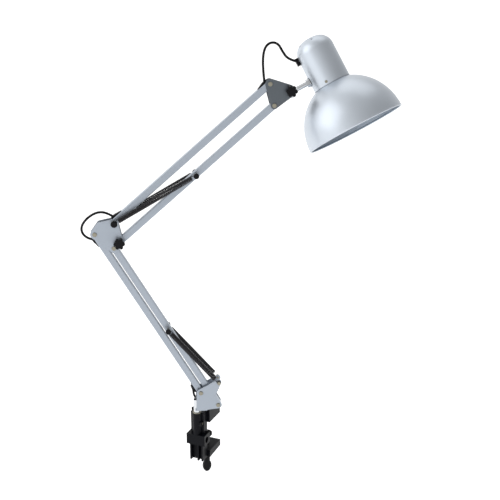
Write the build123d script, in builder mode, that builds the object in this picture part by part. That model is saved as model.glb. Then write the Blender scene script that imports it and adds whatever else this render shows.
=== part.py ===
"""Spring balanced swing arm desk lamp on a screw clamp. Millimetres, +Z up.

The origin is the centre of the underside of the clamp's upper jaw, which rests on the desk top.
The jaws reach along +Y. The arms stand in an upright plane turned 30 degrees about the spindle.
"""

from build123d import *
import os
from math import atan2, cos, degrees, hypot, pi, radians, sin, tan

os.makedirs("parts", exist_ok=True)

# ---- driving dimensions -------------------------------------------------------------------------
ARM_TURN = 30            # turn of the arm plane about the spindle, from the clamp's width
SPINDLE_Y = -39          # spindle axis, in front of the jaws
SPINDLE_R = 6
FIT = 0.05               # radial clearance of every turning fit
TUBE = 12                # side of the square arm tubes
WALL = 1
LINK = 360               # pivot to pivot, all four tubes
LOWER_TILT = 120         # lower arm, from the horizontal
UPPER_TILT = 40.7        # upper arm, from the horizontal
PIVOT_R = 2.5            # rivets, pins and knob bolts
END_R = TUBE / 2         # round tube ends, centred on their pivots
PLATE_IN = 6.5           # inner face of the elbow and head plates, from the arm plane
PLATE_T = 1.5
BASE_IN = 9.5            # inner face of the base bracket's cheeks
BASE_T = 1.8
SPRING_W = 14            # the springs hang this far either side of the arm plane
SPRING_R = 4.75
WIRE_R = 0.6
CORD_R = 2.1
STEM_TILT = 26.6         # lamp head stem, from the horizontal
SHADE_SWIVEL = 17        # the head's turn about its stem
SHADE_R = 87
NECK_R = 33
SHEET = 1.2              # spun metal of the lamp head
SEAM_SCREWS = (249, 9, 129)    # degrees round the neck
SEAM_SCREW_Z = -15.5

JAW_W = 38
JAW_TIP = 24
JAW_ROOT = -24
THROAT = 60
CLAMP_TOP = 25
CLAMP_BOTTOM = -74
BODY_W = 27
BODY_FRONT = -38
COLUMN_R = 8.65
BLOCK_FRONT = -47.5
BLOCK_TOP = -19
BLOCK_BOTTOM = -40
SOCKET_Z = -30           # side socket, the same bore as the upright one
SOCKET_Y = -37.6
SCREW_R = 4

# ---- the arm plane ------------------------------------------------------------------------------
ARM_DIR = Vector(cos(radians(ARM_TURN)), sin(radians(ARM_TURN)), 0)
NEAR_DIR = Vector(sin(radians(ARM_TURN)), -cos(radians(ARM_TURN)), 0)
UP_DIR = Vector(0, 0, 1)


def arm_point(u, v, w=0.0):
    """A point u along the arms, v above the desk and w towards the near side."""
    return Vector(0, SPINDLE_Y, 0) + ARM_DIR * u + UP_DIR * v + NEAR_DIR * w


def arm_dir(tilt):
    """The direction in the arm plane that is tilted by so many degrees from the horizontal."""
    return ARM_DIR * cos(radians(tilt)) + UP_DIR * sin(radians(tilt))


def face(point, w=0.0, tilt=0.0):
    """A sketch plane facing the near side, with its origin at a pivot and X along the tilt."""
    return Plane(origin=arm_point(point[0], point[1], w), x_dir=arm_dir(tilt), z_dir=NEAR_DIR)


def along(point, tilt, distance):
    return (point[0] + distance * cos(radians(tilt)), point[1] + distance * sin(radians(tilt)))


def shifted(point, offset):
    return (point[0] + offset[0], point[1] + offset[1])


# Pivots, as (u, v). The links of each arm are exact parallelograms.
BASE_LINK = (32, -26)
HEAD_LINK = (7.3, -36.5)
BASE_LEFT = (7.5, 69)
BASE_RIGHT = shifted(BASE_LEFT, BASE_LINK)
ELBOW_LEFT = along(BASE_LEFT, LOWER_TILT, LINK)
ELBOW_RIGHT = shifted(ELBOW_LEFT, BASE_LINK)
ELBOW_TOP = shifted(ELBOW_LEFT, (34.5, 20.5))
ELBOW_KNOB = shifted(ELBOW_TOP, HEAD_LINK)
HEAD_TOP = along(ELBOW_TOP, UPPER_TILT, LINK)
HEAD_LOW = shifted(HEAD_TOP, HEAD_LINK)
HEAD_KNOB = shifted(HEAD_TOP, (36, -12))
LOWER_SPRING_TOP = along(BASE_RIGHT, LOWER_TILT, 178.5)
UPPER_SPRING_TOP = along(ELBOW_KNOB, UPPER_TILT, 180)
SPRING_LUG = (41, 89.5)


def finish(part, label):
    """Name a finished piece and write its file."""
    part.label = label
    export_step(part, f"parts/{label}.step")
    return part


def disc(point, radius, w_low, w_high):
    """A round piece across the arm plane."""
    with BuildPart() as made:
        with BuildSketch(face(point, w_low)):
            Circle(radius)
        extrude(amount=w_high - w_low)
    return made.part


def ring(point, outer, inner, w_low, w_high):
    """A washer or bush across the arm plane."""
    with BuildPart() as made:
        with BuildSketch(face(point, w_low)):
            Circle(outer)
            Circle(inner, mode=Mode.SUBTRACT)
        extrude(amount=w_high - w_low)
    return made.part


def rivet(point, half_grip):
    """A round rivet through two plates, with a domed head each side."""
    head_r = 4
    head_t = 1.6
    with BuildPart() as made:
        with BuildSketch(face(point, -half_grip)):
            Circle(PIVOT_R)
        extrude(amount=2 * half_grip)
        with BuildSketch(face(point, half_grip)):
            Circle(head_r)
        extrude(amount=head_t)
        with BuildSketch(face(point, -half_grip - head_t)):
            Circle(head_r)
        extrude(amount=head_t)
        ends = made.faces().sort_by(Axis(arm_point(0, 0), NEAR_DIR))
        fillet(ends[0].edges() + ends[-1].edges(), head_t * 0.6)
    return made.part


def spring_pin(point):
    """A long pin across a tube or an elbow, that a spring hangs on at each end."""
    return disc(point, PIVOT_R, -19, 19)


def pin_caps(point, radius):
    """The two black push-on caps at the ends of a spring pin."""
    caps = []
    for side in (1, -1):
        with BuildPart() as made:
            with BuildSketch(face(point, side * 17)):
                Circle(radius)
            extrude(amount=side * 5)
            with BuildSketch(face(point, side * 17)):
                Circle(PIVOT_R)
            extrude(amount=side * 2, mode=Mode.SUBTRACT)
            outer = made.faces().sort_by(Axis(arm_point(0, 0), NEAR_DIR * side))[-1]
            fillet(outer.edges(), 2)
        caps.append(made.part)
    return Compound(children=caps)


def arm_tube(start, tilt, spring_hole=None, slots=()):
    """A square arm tube with round ends, pivot holes, and slots for the cord on its upper side."""
    section = Plane(origin=arm_point(*start), x_dir=NEAR_DIR, z_dir=arm_dir(tilt))
    with BuildPart() as made:
        with BuildSketch(section.offset(-END_R)):
            RectangleRounded(TUBE, TUBE, 1.5)
            RectangleRounded(TUBE - 2 * WALL, TUBE - 2 * WALL, 0.8, mode=Mode.SUBTRACT)
        extrude(amount=LINK + 2 * END_R)
        with BuildSketch(face(start, -TUBE, tilt)):
            with Locations((LINK / 2, 0)):
                SlotOverall(LINK + 2 * END_R, TUBE)
        extrude(amount=2 * TUBE, mode=Mode.INTERSECT)
        with BuildSketch(face(start, -TUBE, tilt)):
            with Locations((0, 0), (LINK, 0)):
                Circle(PIVOT_R + FIT)
            if spring_hole:
                with Locations((spring_hole, 0)):
                    Circle(PIVOT_R)
        extrude(amount=2 * TUBE, mode=Mode.SUBTRACT)
        for distance, side in slots:
            with BuildSketch(face(start, -SLOT_W / 2, tilt)):
                with Locations((distance, side * TUBE / 2)):
                    Rectangle(SLOT_L, 2 * WALL + 0.6)
            extrude(amount=SLOT_W, mode=Mode.SUBTRACT)
    return made.part


def plate(circles, holes, w_low, thickness):
    """A stamped plate: the outline stretched round a few circles, with pivot holes."""
    with BuildPart() as made:
        with BuildSketch(face((0, 0), w_low)):
            for u, v, radius in circles:
                with Locations((u, v)):
                    Circle(radius)
            make_hull()
            with Locations(*holes):
                Circle(PIVOT_R, mode=Mode.SUBTRACT)
        extrude(amount=thickness)
        flats = made.faces().sort_by(Axis(arm_point(0, 0), NEAR_DIR))
        chamfer(flats[0].outer_wire().edges() + flats[-1].outer_wire().edges(), 0.3)
    return made.part


def cord(points, label):
    """A plain cord: straight runs joined by the largest tangent arcs that the runs allow."""
    radii = []
    for before, corner, after in zip(points, points[1:], points[2:]):
        run_in = corner - before
        run_out = after - corner
        turn = radians(run_in.get_angle(run_out))
        radii.append(0.45 * min(run_in.length, run_out.length) / tan(turn / 2))
    with BuildLine() as route:
        FilletPolyline(*points, radius=radii)
    with BuildPart() as made:
        with BuildSketch(Plane(origin=points[0], z_dir=points[1] - points[0])):
            Circle(CORD_R)
        sweep(path=route.wires()[0])
    length = sum(edge.length for edge in route.edges())
    expected = pi * CORD_R**2 * length
    print(label, "length", round(length, 1), "volume ratio", round(made.part.volume / expected, 4))
    print("  radii", [round(radius, 1) for radius in radii])
    return finish(made.part, label)


# ---- clamp --------------------------------------------------------------------------------------
with BuildPart() as clamp_body:
    # jaws, full width
    with BuildSketch(Plane.YZ.offset(-JAW_W / 2)):
        with BuildLine():
            Polyline(
                (JAW_ROOT, 0), (JAW_TIP, 0), (JAW_TIP, 11), (JAW_ROOT, CLAMP_TOP), close=True
            )
        make_face()
        with BuildLine():
            Polyline(
                (JAW_ROOT, -THROAT),
                (JAW_TIP, -THROAT),
                (JAW_TIP, -THROAT - 11.5),
                (JAW_ROOT, CLAMP_BOTTOM),
                close=True,
            )
        make_face()
    extrude(amount=JAW_W)
    # spine, narrower than the jaws
    with BuildSketch(Plane.XY.offset(CLAMP_BOTTOM)):
        with Locations((0, (BODY_FRONT + JAW_ROOT) / 2)):
            Rectangle(BODY_W, JAW_ROOT - BODY_FRONT)
    extrude(amount=CLAMP_TOP - CLAMP_BOTTOM)
    # cheeks that stiffen the foot of the spine, with an open pocket between them
    with BuildSketch(Plane.XY.offset(CLAMP_BOTTOM)):
        with Locations((-12, BODY_FRONT - 3.5), (3.5, BODY_FRONT - 3.5), (12, BODY_FRONT - 3.5)):
            Rectangle(3, 7)
    extrude(amount=BLOCK_BOTTOM - CLAMP_BOTTOM)
    # block for the side socket
    with BuildSketch(Plane.XY.offset(BLOCK_BOTTOM)):
        with Locations((0, (BLOCK_FRONT + JAW_ROOT) / 2)):
            Rectangle(JAW_W, JAW_ROOT - BLOCK_FRONT)
    extrude(amount=BLOCK_TOP - BLOCK_BOTTOM)
    # column round the upright socket
    with BuildSketch(Plane.XY.offset(BLOCK_TOP)):
        with Locations((0, SPINDLE_Y)):
            Circle(COLUMN_R)
    extrude(amount=CLAMP_TOP - BLOCK_TOP)
    # boss for the set screw, on the column's right
    with BuildSketch(Plane.YZ.offset(4)):
        with Locations((SPINDLE_Y - 2, 3)):
            Circle(5)
    extrude(amount=6.5)
    soft_edges = clamp_body.edges().filter_by(Axis.Z).group_by(Axis.Y)[-1]
    fillet(soft_edges, 2)
    chamfer(clamp_body.edges().filter_by(Axis.Y).group_by(Axis.Z)[-1], 0.8)
    # sockets for the spindle: upright and blind, and across the block
    with BuildSketch(Plane.XY.offset(CLAMP_TOP)):
        with Locations((0, SPINDLE_Y)):
            Circle(SPINDLE_R + FIT)
    extrude(amount=-(CLAMP_TOP + 18), mode=Mode.SUBTRACT)
    with BuildSketch(Plane.YZ.offset(-JAW_W / 2)):
        with Locations((SOCKET_Y, SOCKET_Z)):
            Circle(SPINDLE_R + 0.1)
    extrude(amount=JAW_W, mode=Mode.SUBTRACT)
    # set screw hole
    with BuildSketch(Plane.YZ.offset(6)):
        with Locations((SPINDLE_Y, 3)):
            Circle(2)
    extrude(amount=8, mode=Mode.SUBTRACT)
    # clamp screw hole, with a hexagonal pocket for its nut from below
    with BuildSketch(Plane.XY.offset(CLAMP_BOTTOM - 1)):
        Circle(SCREW_R + 0.4)
    extrude(amount=2 - THROAT - CLAMP_BOTTOM, mode=Mode.SUBTRACT)
    with BuildSketch(Plane.XY.offset(CLAMP_BOTTOM - 1)):
        RegularPolygon(6.5, 6, major_radius=False)
    extrude(amount=8, mode=Mode.SUBTRACT)
finish(clamp_body.part, "clamp_body")

NUT_LOW = -73.2
with BuildPart() as clamp_nut:
    with BuildSketch(Plane.XY.offset(NUT_LOW)):
        RegularPolygon(6.45, 6, major_radius=False)
        Circle(SCREW_R + FIT, mode=Mode.SUBTRACT)
    extrude(amount=6.2)
finish(clamp_nut.part, "clamp_nut")

PAD_LOW = -42.5
PAD_HIGH = -36
with BuildPart() as clamp_screw:
    with BuildSketch(Plane.XY.offset(-96)):
        Circle(SCREW_R)
    extrude(amount=PAD_LOW - 0.3 + 96)
    with BuildSketch(Plane.XY.offset(PAD_LOW - 0.3)):
        Circle(3)
    extrude(amount=4.3)
    chamfer(clamp_screw.faces().sort_by(Axis.Z)[-1].edges(), 0.6)
finish(clamp_screw.part, "clamp_screw")

with BuildPart() as pressure_pad:
    with BuildSketch(Plane.XY.offset(PAD_LOW)):
        Circle(11)
    extrude(amount=PAD_HIGH - PAD_LOW)
    with BuildSketch(Plane.XY.offset(PAD_LOW)):
        Circle(3 + FIT)
    extrude(amount=4.6, mode=Mode.SUBTRACT)
    fillet(pressure_pad.faces().sort_by(Axis.Z)[-1].edges(), 1)
    chamfer(pressure_pad.faces().sort_by(Axis.Z)[0].edges().sort_by(SortBy.RADIUS)[-1], 1.5)
finish(pressure_pad.part, "pressure_pad")

WING_TURN = 50           # the wing as it stands, about the screw
wing_plane = Plane(
    origin=(0, 0, 0), x_dir=(cos(radians(WING_TURN)), sin(radians(WING_TURN)), 0),
    z_dir=(sin(radians(WING_TURN)), -cos(radians(WING_TURN)), 0),
)
with BuildPart() as wing_handle:
    with BuildSketch(Plane.XY.offset(-99)):
        Circle(6.2)
    extrude(amount=10)
    with BuildSketch(Plane.XY.offset(-89)):
        Circle(6.2)
    extrude(amount=3, taper=25)
    with BuildSketch(wing_plane.offset(-2.4)):
        with Locations((0, -108.5)):
            Ellipse(8.5, 12.5)
    extrude(amount=4.8)
    with BuildSketch(Plane.XY.offset(-96)):
        Circle(SCREW_R)
    extrude(amount=20, mode=Mode.SUBTRACT)
finish(wing_handle.part, "wing_handle")

with BuildPart() as set_screw:
    with BuildSketch(Plane.YZ.offset(SPINDLE_R + FIT + 0.05)):
        with Locations((SPINDLE_Y, 3)):
            Circle(1.95)
    extrude(amount=6)
    with BuildSketch(Plane.YZ.offset(SPINDLE_R + FIT + 4.55)):
        with Locations((SPINDLE_Y, 3)):
            RegularPolygon(1, 6)
    extrude(amount=2, mode=Mode.SUBTRACT)
finish(set_screw.part, "set_screw")

# ---- spindle and base bracket -------------------------------------------------------------------
WEB_Z = 33
WEB_T = 2
SPINDLE_TOP = 52
with BuildPart() as spindle:
    with BuildSketch(Plane.XY.offset(-17.9)):
        with Locations((0, SPINDLE_Y)):
            Circle(SPINDLE_R)
            Circle(SPINDLE_R - 1.5, mode=Mode.SUBTRACT)
    extrude(amount=SPINDLE_TOP + 17.9)
finish(spindle.part, "spindle")

with BuildPart() as spindle_washer:
    with BuildSketch(Plane.XY.offset(CLAMP_TOP + 0.1)):
        with Locations((0, SPINDLE_Y)):
            Circle(8.2)
            Circle(SPINDLE_R, mode=Mode.SUBTRACT)
    extrude(amount=1)
finish(spindle_washer.part, "spindle_washer")


def base_cheek(w_low):
    """One cheek of the base bracket: a spring lug above, the two lower pivots below."""
    with BuildPart() as made:
        with BuildSketch(face((0, 0), w_low)):
            for u, v, radius in ((*BASE_LEFT, 8), (*SPRING_LUG, 5), (31, 64, 4)):
                with Locations((u, v)):
                    Circle(radius)
            make_hull()
        extrude(amount=BASE_T)
        with BuildSketch(face((0, 0), w_low)):
            foot = (1, WEB_Z + 2.5, 2.5)
            for u, v, radius in ((*BASE_LEFT, 8), (*BASE_RIGHT, 6.8), foot, (31, 64, 4)):
                with Locations((u, v)):
                    Circle(radius)
            make_hull()
        extrude(amount=BASE_T)
        with BuildSketch(face((0, 0), w_low)):
            with Locations(BASE_LEFT, BASE_RIGHT):
                Circle(PIVOT_R)
            with Locations(SPRING_LUG):
                Circle(2)
        extrude(amount=BASE_T, mode=Mode.SUBTRACT)
    return made.part


near_cheek = base_cheek(BASE_IN)
far_cheek = base_cheek(-BASE_IN - BASE_T)
with BuildPart() as base_bracket:
    add(near_cheek)
    add(far_cheek)
    with BuildSketch(Plane(origin=arm_point(8, WEB_Z), x_dir=ARM_DIR, z_dir=UP_DIR)):
        Rectangle(22, 2 * (BASE_IN + BASE_T))
    extrude(amount=WEB_T)
    with BuildSketch(Plane.XY.offset(WEB_Z)):
        with Locations((0, SPINDLE_Y)):
            Circle(SPINDLE_R)
    extrude(amount=WEB_T, mode=Mode.SUBTRACT)
finish(base_bracket.part, "base_bracket")

BASE_GRIP = BASE_IN + BASE_T
finish(Compound(children=[rivet(BASE_LEFT, BASE_GRIP), rivet(BASE_RIGHT, BASE_GRIP)]), "base_rivets")

bushes = []
for pivot in (BASE_LEFT, BASE_RIGHT):
    bushes.append(ring(pivot, 5, PIVOT_R, TUBE / 2 + 0.15, BASE_IN))
    bushes.append(ring(pivot, 5, PIVOT_R, -BASE_IN, -TUBE / 2 - 0.15))
finish(Compound(children=bushes), "base_bushes")

studs = []
for side in (1, -1):
    with BuildPart() as stud:
        with BuildSketch(face(SPRING_LUG, side * BASE_IN)):
            Circle(2)
        extrude(amount=side * 7)
        with BuildSketch(face(SPRING_LUG, side * (BASE_IN + 7))):
            Circle(3.2)
        extrude(amount=side * 1.5)
    studs.append(stud.part)
finish(Compound(children=studs), "base_spring_studs")

# ---- arm tubes, cord grommets and spring pins ---------------------------------------------------
SLOT_L = 10
SLOT_W = 5
LOWER_SLOTS = ((16, 1), (LINK - 15, 1))
UPPER_SLOTS = ((13, 1), (LINK - 13, 1))
left_tube = arm_tube(BASE_LEFT, LOWER_TILT, slots=LOWER_SLOTS)
right_tube = arm_tube(BASE_RIGHT, LOWER_TILT, spring_hole=178.5)
top_tube = arm_tube(ELBOW_TOP, UPPER_TILT, slots=UPPER_SLOTS)
low_tube = arm_tube(ELBOW_KNOB, UPPER_TILT, spring_hole=180)
finish(left_tube, "lower_arm_left_tube")
finish(right_tube, "lower_arm_right_tube")
finish(top_tube, "upper_arm_top_tube")
finish(low_tube, "upper_arm_low_tube")

finish(spring_pin(LOWER_SPRING_TOP), "lower_spring_pin")
finish(pin_caps(LOWER_SPRING_TOP, 5), "lower_spring_pin_caps")
finish(spring_pin(UPPER_SPRING_TOP), "upper_spring_pin")
finish(pin_caps(UPPER_SPRING_TOP, 5), "upper_spring_pin_caps")


def grommet(start, tilt, distance, toward, cord_end, cord_next):
    """A black wedge that plugs a tube's slot. Its raised end holds the cord in a blind mouth."""
    top = TUBE / 2
    with BuildPart() as made:
        with BuildSketch(face(start, -3.2, tilt)):
            with BuildLine():
                Polyline(
                    (distance - toward * 9, top),
                    (distance + toward * 12, top),
                    (distance + toward * 12, top + 3.4),
                    (distance + toward * 10, top + 4.4),
                    (distance + toward * 3, top + 3.8),
                    (distance - toward * 9, top + 0.9),
                    close=True,
                )
            make_face()
        extrude(amount=6.4)
        with BuildSketch(face(start, -SLOT_W / 2, tilt)):
            with Locations((distance, top - WALL / 2)):
                Rectangle(SLOT_L, WALL)
        extrude(amount=SLOT_W)
        with BuildSketch(Plane(origin=cord_end, z_dir=cord_next - cord_end)):
            Circle(CORD_R + FIT)
        extrude(amount=14, mode=Mode.SUBTRACT)
    return made.part


# ---- cord routes --------------------------------------------------------------------------------
# The spare lead is folded in a hank on the desk, close behind the clamp, and tied at its middle.
HANK_CENTRE = Vector(-30.5, 72, 0)
HANK_TURN = 113          # direction of the hank's length
HANK_HALF = 30           # from its middle to the centre of each end
HANK_END_R = 20          # outside radius of the ends
HANK_T = 13.2
hank_dir = Vector(cos(radians(HANK_TURN)), sin(radians(HANK_TURN)), 0)
HANK_PLANE = Plane(origin=HANK_CENTRE, x_dir=hank_dir, z_dir=UP_DIR)


def hank_point(distance, side, height):
    """A point so far along the hank, so far to its side and so high above the desk."""
    return HANK_PLANE.from_local_coords((distance, side, height))


# Each exposed loop starts and ends in the blind mouth of a grommet.
HEAD_LOOP = [
    arm_point(182.8, 672.1, -12.5),
    arm_point(168, 675.8, -11.8),
    arm_point(158, 689, -10.8),
    arm_point(151.5, 701, -10),
    arm_point(140.5, 705, -8),
    arm_point(129.5, 700, -5.5),
    arm_point(124, 687, -3.2),
    arm_point(123, 663.4, -1.2),
    arm_point(125.6, 640.2, 0),
]
ELBOW_LOOP = [
    arm_point(-138.4, 409.9, 0),
    arm_point(-150.5, 418, -0.8),
    arm_point(-167, 419, -2),
    arm_point(-184, 409.5, -2.6),
    arm_point(-195.5, 395, -2.2),
    arm_point(-195, 381.5, -1.4),
    arm_point(-184.5, 371.8, -0.6),
    arm_point(-174.8, 370, 0),
]
LEAD = [
    arm_point(-9.4, 80.6, 0),
    arm_point(-5.6, 69.5, -4),
    arm_point(-5.4, 58.5, -11.5),
    arm_point(-1.8, 47.5, -17.5),
    Vector(-14.5, -12, 36.5),
    Vector(-18.5, -2.5, 27.5),
    Vector(-23.5, 6, 19.5),
    Vector(-28, 14.5, 10),
    hank_point(-45.5, 17.5, 2.7),
    hank_point(-34, 17.5, 2.7),
]
TAIL = [
    hank_point(-22, -13.5, 15.4),
    hank_point(-36, -13.5, 15.9),
    hank_point(-45, -2.8, 17.2),
    hank_point(-42.6, 11, 18.5),
    hank_point(-30.5, 18, 19.6),
    hank_point(-17.3, 13.2, 20.3),
]


upper_grommets = [
    grommet(ELBOW_TOP, UPPER_TILT, UPPER_SLOTS[0][0], -1, ELBOW_LOOP[0], ELBOW_LOOP[1]),
    grommet(ELBOW_TOP, UPPER_TILT, UPPER_SLOTS[1][0], 1, HEAD_LOOP[-1], HEAD_LOOP[-2]),
]
lower_grommets = [
    grommet(BASE_LEFT, LOWER_TILT, LOWER_SLOTS[0][0], -1, LEAD[0], LEAD[1]),
    grommet(BASE_LEFT, LOWER_TILT, LOWER_SLOTS[1][0], 1, ELBOW_LOOP[-1], ELBOW_LOOP[-2]),
]
finish(Compound(children=upper_grommets), "upper_arm_grommets")
finish(Compound(children=lower_grommets), "lower_arm_grommets")

# ---- elbow --------------------------------------------------------------------------------------
ELBOW_OUTLINE = (
    (*ELBOW_TOP, 6.6), (*ELBOW_LEFT, 7.8), (*ELBOW_RIGHT, 8.2), (*ELBOW_KNOB, 7.2), (-162.5, 396.5, 6.5),
)
ELBOW_HOLES = (ELBOW_TOP, ELBOW_LEFT, ELBOW_RIGHT, ELBOW_KNOB)
PLATE_OUT = PLATE_IN + PLATE_T
finish(plate(ELBOW_OUTLINE, ELBOW_HOLES, PLATE_IN, PLATE_T), "elbow_near_plate")
finish(plate(ELBOW_OUTLINE, ELBOW_HOLES, -PLATE_OUT, PLATE_T), "elbow_far_plate")
elbow_rivets = [rivet(ELBOW_LEFT, PLATE_OUT), rivet(ELBOW_RIGHT, PLATE_OUT)]
finish(Compound(children=elbow_rivets), "elbow_rivets")
finish(spring_pin(ELBOW_TOP), "elbow_spring_pin")
finish(pin_caps(ELBOW_TOP, 6), "elbow_spring_pin_caps")

KNOB_LOW = PLATE_OUT + 0.9
KNOB_T = 11


def knob_bolt(point):
    """A round headed bolt from the far side, whose end is held in a star knob."""
    with BuildPart() as made:
        with BuildSketch(face(point, -PLATE_OUT)):
            Circle(PIVOT_R)
        extrude(amount=PLATE_OUT + KNOB_LOW + 7)
        with BuildSketch(face(point, -PLATE_OUT - 2.6)):
            Circle(5)
        extrude(amount=2.6)
        head = made.faces().sort_by(Axis(arm_point(0, 0), NEAR_DIR))[0]
        fillet(head.edges(), 1.8)
    return made.part


def star_knob(point):
    """A moulded knob with six lobes, blind bored for its bolt."""
    with BuildPart() as made:
        with BuildSketch(face(point, KNOB_LOW)):
            Circle(6)
        extrude(amount=3)
        with BuildSketch(face(point, KNOB_LOW + 3)):
            Circle(7.4)
            with PolarLocations(6.8, 6):
                Circle(3.2)
        extrude(amount=KNOB_T - 3)
        crown = made.faces().sort_by(Axis(arm_point(0, 0), NEAR_DIR))[-1]
        chamfer(crown.edges(), 0.7)
        with BuildSketch(face(point, KNOB_LOW)):
            Circle(PIVOT_R + FIT)
        extrude(amount=7.4, mode=Mode.SUBTRACT)
    return made.part


finish(knob_bolt(ELBOW_KNOB), "elbow_bolt")
finish(star_knob(ELBOW_KNOB), "elbow_knob")
finish(ring(ELBOW_KNOB, 6.5, PIVOT_R, PLATE_OUT, KNOB_LOW - 0.1), "elbow_knob_washer")

# ---- springs ------------------------------------------------------------------------------------


def spring(low, high, w):
    """A close wound tension spring as a plain sleeve, with a wire eye round the pin at each end."""
    tilt = degrees(atan2(high[1] - low[1], high[0] - low[0]))
    length = hypot(high[0] - low[0], high[1] - low[1])
    eye_r = PIVOT_R + 0.2 + WIRE_R
    sleeve = 15
    start = Plane(origin=arm_point(*low, w), x_dir=NEAR_DIR, z_dir=arm_dir(tilt))
    with BuildPart() as made:
        with BuildSketch(start.offset(sleeve)):
            Circle(SPRING_R)
        extrude(amount=length - 2 * sleeve)
        with BuildSketch(start.offset(sleeve + 1.2)):
            Circle(SPRING_R - 2 * WIRE_R)
        extrude(amount=length - 2 * sleeve - 2.4, mode=Mode.SUBTRACT)
        with BuildSketch(start.offset(eye_r)):
            Circle(WIRE_R)
        extrude(amount=sleeve - eye_r + 0.4)
        with BuildSketch(start.offset(length - sleeve - 0.4)):
            Circle(WIRE_R)
        extrude(amount=sleeve - eye_r + 0.4)
        eye_plane = face(low, w, tilt)
        for distance in (0, length):
            eye = eye_plane.from_local_coords((distance, 0, 0))
            with BuildSketch(Plane(origin=eye, x_dir=eye_plane.x_dir, z_dir=eye_plane.y_dir)):
                with Locations((eye_r, 0)):
                    Circle(WIRE_R)
            revolve(axis=Axis(eye, NEAR_DIR))
    return made.part


for side, name in ((1, "near"), (-1, "far")):
    finish(spring(SPRING_LUG, LOWER_SPRING_TOP, side * SPRING_W), f"lower_spring_{name}")
    finish(spring(ELBOW_TOP, UPPER_SPRING_TOP, side * SPRING_W), f"upper_spring_{name}")

# ---- head bracket -------------------------------------------------------------------------------
HEAD_OUTLINE = ((*HEAD_TOP, 8.6), (*HEAD_LOW, 6.2), (*HEAD_KNOB, 9.2))
HEAD_HOLES = (HEAD_TOP, HEAD_LOW, HEAD_KNOB)
finish(plate(HEAD_OUTLINE, HEAD_HOLES, PLATE_IN, PLATE_T), "head_near_plate")
finish(plate(HEAD_OUTLINE, HEAD_HOLES, -PLATE_OUT, PLATE_T), "head_far_plate")
finish(Compound(children=[rivet(HEAD_TOP, PLATE_OUT), rivet(HEAD_LOW, PLATE_OUT)]), "head_rivets")
finish(knob_bolt(HEAD_KNOB), "head_bolt")
finish(star_knob(HEAD_KNOB), "head_knob")
TONGUE_T = 8
head_washers = [
    ring(HEAD_KNOB, 6.5, PIVOT_R, PLATE_OUT, KNOB_LOW - 0.1),
    ring(HEAD_KNOB, 7, PIVOT_R, TONGUE_T / 2 + 0.1, PLATE_IN),
    ring(HEAD_KNOB, 7, PIVOT_R, -PLATE_IN, -TONGUE_T / 2 - 0.1),
]
finish(Compound(children=head_washers), "head_washers")

# ---- lamp head ----------------------------------------------------------------------------------
# The head frame: origin where the stem's axis crosses the neck's axis, X along the stem,
# Z from the mouth of the shade towards its top.
STEM_DROP = 3.1          # the rod runs this far below its pivot
STEM_LENGTH = 69
STEM_R = 4.25
STEM_THREAD_R = 4
stem_foot = along(HEAD_KNOB, STEM_TILT - 90, STEM_DROP)
head_centre = along(stem_foot, STEM_TILT, STEM_LENGTH)
stem_dir = arm_dir(STEM_TILT)
level_up = arm_dir(STEM_TILT + 90)
head_up = level_up * cos(radians(SHADE_SWIVEL)) - NEAR_DIR * sin(radians(SHADE_SWIVEL))
HEAD = Plane(origin=arm_point(*head_centre), x_dir=stem_dir, z_dir=head_up)
PROFILE = Plane(origin=HEAD.origin, x_dir=HEAD.x_dir, z_dir=-HEAD.y_dir)
HEAD_AXIS = Axis(HEAD.origin, HEAD.z_dir)
RIM = -107               # heights in the head frame
SEAM = -20.2
SHOULDER = 42
BELL_H = 93
CROWN_R = 24
CROWN_ARC = 75


def head_plane(height):
    return HEAD.offset(height)


def side_plane(distance, height, around=180):
    """A sketch plane facing out of the neck's side, so far from the axis and so far round it."""
    out = HEAD.x_dir * cos(radians(around)) + HEAD.y_dir * sin(radians(around))
    return Plane(origin=HEAD.origin + out * distance + HEAD.z_dir * height, x_dir=HEAD.z_dir, z_dir=out)


def dome_line(radius, corner):
    """The neck's outline from its seam, up over the shoulder to the crown on the axis."""
    top_r = (radius - corner + corner * cos(radians(CROWN_ARC))) / sin(radians(90 - CROWN_ARC))
    side = Line((radius, SEAM), (radius, SHOULDER))
    shoulder = JernArc(start=side @ 1, tangent=(0, 1), radius=corner, arc_size=CROWN_ARC)
    return JernArc(start=shoulder @ 1, tangent=shoulder % 1, radius=top_r, arc_size=90 - CROWN_ARC)


with BuildPart() as neck_shell:
    with BuildSketch(PROFILE):
        with BuildLine():
            outer = dome_line(NECK_R, CROWN_R)
            Line(outer @ 1, (0, SEAM))
            Line((0, SEAM), (NECK_R, SEAM))
        make_face()
        with BuildLine():
            inner = dome_line(NECK_R - SHEET, CROWN_R - SHEET)
            Line(inner @ 1, (0, SEAM))
            Line((0, SEAM), (NECK_R - SHEET, SEAM))
        make_face(mode=Mode.SUBTRACT)
    revolve(axis=HEAD_AXIS)
    # ring of vents in the crown
    with BuildSketch(head_plane(SHOULDER)):
        with PolarLocations(24, 6, start_angle=-90):
            Circle(1.8)
    extrude(amount=40, mode=Mode.SUBTRACT)
    # stem hole, cord hole, screw holes
    with BuildSketch(side_plane(25, 0)):
        Circle(STEM_THREAD_R + FIT)
    extrude(amount=12, mode=Mode.SUBTRACT)
    with BuildSketch(side_plane(25, 40)):
        Rectangle(10, 7)
    extrude(amount=12, mode=Mode.SUBTRACT)
    for around in SEAM_SCREWS:
        with BuildSketch(side_plane(25, SEAM_SCREW_Z, around)):
            Circle(1.5)
        extrude(amount=12, mode=Mode.SUBTRACT)
finish(neck_shell.part, "neck_shell")

COLLAR_R = NECK_R - SHEET - 0.05
COLLAR_TOP = -10


def bell_line(radius, height, collar):
    """A quarter ellipse from the rim up to the collar's radius."""
    turn = degrees(atan2((1 - (collar / radius) ** 2) ** 0.5, collar / radius))
    return EllipticalCenterArc((0, RIM), radius, height, arc_size=turn)


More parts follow.
